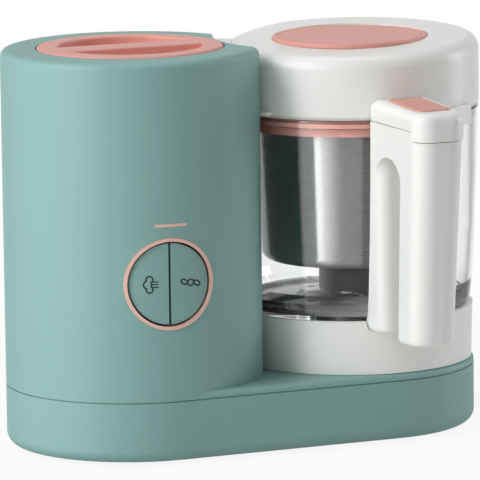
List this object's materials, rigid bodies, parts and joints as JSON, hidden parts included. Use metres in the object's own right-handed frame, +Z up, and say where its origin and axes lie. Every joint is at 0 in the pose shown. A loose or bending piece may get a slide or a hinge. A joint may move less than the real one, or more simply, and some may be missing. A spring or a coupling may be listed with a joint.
{
  "type": "baby food maker",
  "caption": "Counter-top baby food maker: a round tower with a water tank and steam heater beside a glass blender jar with handle, lid, steaming basket and blade on a shared base.",
  "frame": {"origin": "middle of the bounding box on the plane the feet stand on", "axes": "+X from the tower to the jar, +Y to the back, +Z up; the buttons and the handle face -Y"},
  "size_m": [0.3184, 0.2348, 0.2577],
  "materials": {
    "housing_green": "satin",
    "trim_pink": "satin",
    "body_white": "satin",
    "clear_glass": "polished",
    "steel": "brushed",
    "dark_plastic": "matte",
    "black_rubber": "matte",
    "silicone": "matte",
    "aluminium": "cast",
    "bronze": "turned",
    "motor_iron": "laminated",
    "bracket_metal": "galvanised",
    "board": "satin"
  },
  "bodies": {
    "base": {"upper_housing": "housing_green", "base_pan": "housing_green", "feet": "black_rubber", "pan_screws": "steel", "deck_screws": "steel", "cord_grommet": "black_rubber", "water_tank": "body_white", "heater_plate": "aluminium", "heater_element": "steel", "thermostat": "aluminium", "steam_nozzle": "body_white", "button_ring": "trim_pink", "panel_frame": "dark_plastic", "control_board": "board", "tact_switches": "dark_plastic", "accent_bar": "trim_pink", "motor_bracket": "bracket_metal", "motor_frame": "dark_plastic", "motor_stator": "motor_iron", "motor_end_cap": "dark_plastic", "drive_belt": "black_rubber", "lower_bush": "bronze", "drive_bush": "bronze"},
    "stopper": {"tank_stopper": "body_white", "stopper_seal": "silicone"},
    "cap": {"tank_cap": "trim_pink"},
    "steam_key": {"steam_button": "housing_green"},
    "blend_key": {"blend_button": "housing_green"},
    "rotor": {"motor_shaft": "steel", "motor_armature": "motor_iron", "motor_fan": "dark_plastic", "motor_pulley": "dark_plastic"},
    "drive": {"drive_shaft": "steel", "drive_pulley": "dark_plastic", "drive_dog": "dark_plastic"},
    "jar": {"glass_jar": "clear_glass", "jar_foot": "body_white", "blade_bearing": "dark_plastic", "blade_gasket": "silicone", "blade_nut": "dark_plastic", "handle": "body_white", "handle_cap": "body_white", "latch_spring": "steel"},
    "blade": {"blade_shaft": "steel", "blade_coupling": "dark_plastic", "blade_hub": "dark_plastic", "blade_wings": "steel"},
    "basket": {"steel_basket": "steel", "basket_ring": "trim_pink"},
    "lid": {"lid_shell": "body_white", "lid_liner": "body_white", "lid_seal": "silicone"},
    "lid_plug": {"lid_cap": "trim_pink", "lid_cap_seal": "silicone"},
    "latch": {"latch_pad": "trim_pink"}
  },
  "joints": [
    {"name": "stopper_lift", "type": "slide", "parent": "base", "child": "stopper", "axis": [0, 0, 1], "range_m": [0, 0.06]},
    {"name": "tank_cap_turn", "type": "hinge", "parent": "stopper", "child": "cap", "pos_m": [-0.0762, 0.03205, 0.1], "axis": [0, 0, 1], "range_deg": [0, 90]},
    {"name": "steam_button_press", "type": "slide", "parent": "base", "child": "steam_key", "axis": [0.0785, 0.9969, 0], "range_m": [0, 0.0012], "stiffness_N_per_m": 1200, "springref_m": -0.001},
    {"name": "blend_button_press", "type": "slide", "parent": "base", "child": "blend_key", "axis": [0.0785, 0.9969, 0], "range_m": [0, 0.0012], "stiffness_N_per_m": 1200, "springref_m": -0.001},
    {"name": "motor_spin", "type": "hinge", "parent": "base", "child": "rotor", "pos_m": [-0.0762, 0.03205, 0.1], "axis": [0, 0, 1], "continuous": true},
    {"name": "drive_spin", "type": "hinge", "parent": "base", "child": "drive", "pos_m": [0.0758, 0.03205, 0.1], "axis": [0, 0, 1], "continuous": true},
    {"name": "jar_lift", "type": "slide", "parent": "base", "child": "jar", "axis": [0, 0, 1], "range_m": [0, 0.22]},
    {"name": "blade_spin", "type": "hinge", "parent": "jar", "child": "blade", "pos_m": [0.0758, 0.03205, 0.1], "axis": [0, 0, 1], "continuous": true},
    {"name": "lid_lift", "type": "slide", "parent": "jar", "child": "lid", "axis": [0, 0, 1], "range_m": [0, 0.18]},
    {"name": "basket_lift", "type": "slide", "parent": "jar", "child": "basket", "axis": [0, 0, 1], "range_m": [0, 0.11]},
    {"name": "lid_cap_lift", "type": "slide", "parent": "lid", "child": "lid_plug", "axis": [0, 0, 1], "range_m": [0, 0.04]},
    {"name": "latch_press", "type": "slide", "parent": "jar", "child": "latch", "axis": [0, 0, -1], "range_m": [0, 0.003], "stiffness_N_per_m": 900, "springref_m": -0.002, "deforming": ["latch_spring"]}
  ],
  "couplings": [
    {"joint": "drive_spin", "follows": "motor_spin", "ratio": 0.35714},
    {"joint": "blade_spin", "follows": "motor_spin", "ratio": 0.35714},
    {"joint": "basket_lift", "follows": "lid_lift", "ratio": 0.6}
  ]
}
